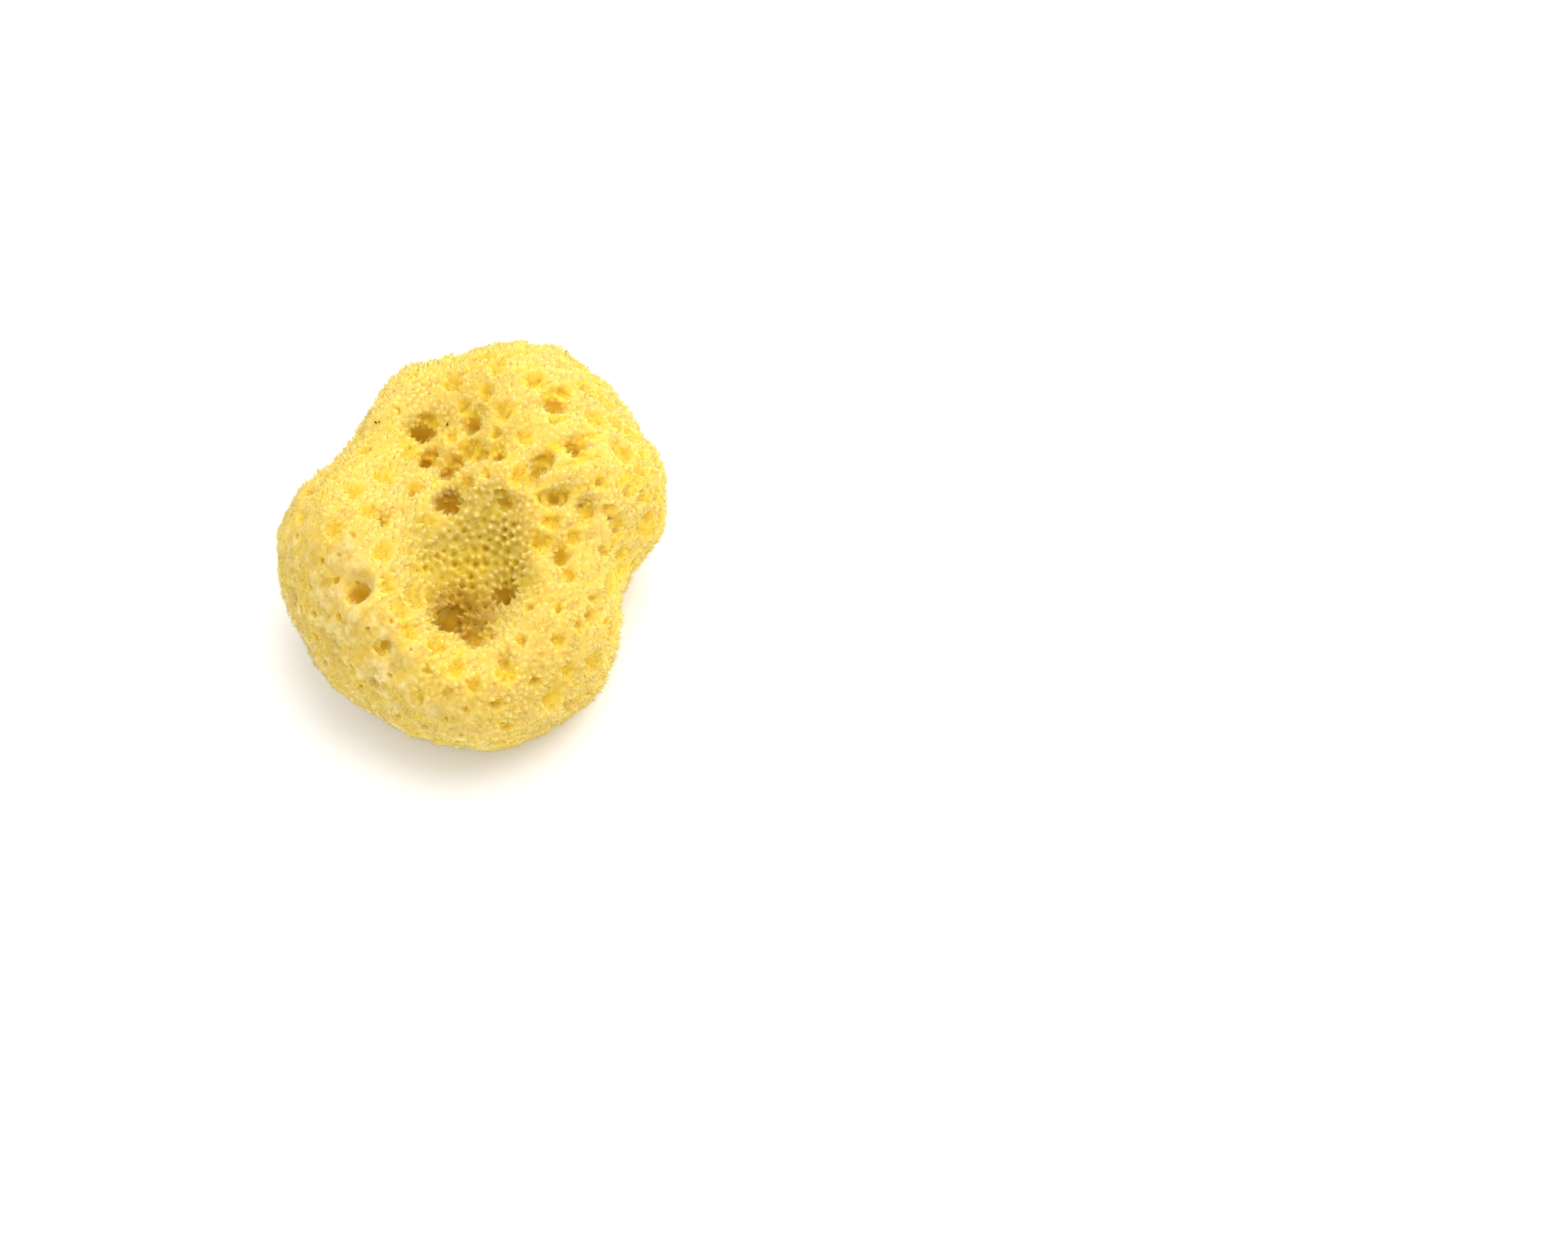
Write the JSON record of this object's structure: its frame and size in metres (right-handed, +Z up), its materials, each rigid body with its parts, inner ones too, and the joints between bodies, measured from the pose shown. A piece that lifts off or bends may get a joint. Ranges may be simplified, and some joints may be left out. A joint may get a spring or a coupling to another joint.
{
  "type": "sea sponge",
  "caption": "Small natural sea sponge: a yellow cushion of rounded lobes around a sunken crown, with wide vents and a fine tufted skin, cut flat underneath.",
  "frame": {"origin": "on the flat cut base, under the middle of the sponge's outline", "axes": "+Z up out of the cut base, +Y along the longest side, towards the high lobe; -Y is the side that faces the viewer"},
  "size_m": [0.064, 0.069, 0.0399],
  "materials": {
    "sponge": "matte, fibrous, dry spongin"
  },
  "bodies": {
    "root": {"sponge": "sponge"}
  },
  "joints": []
}
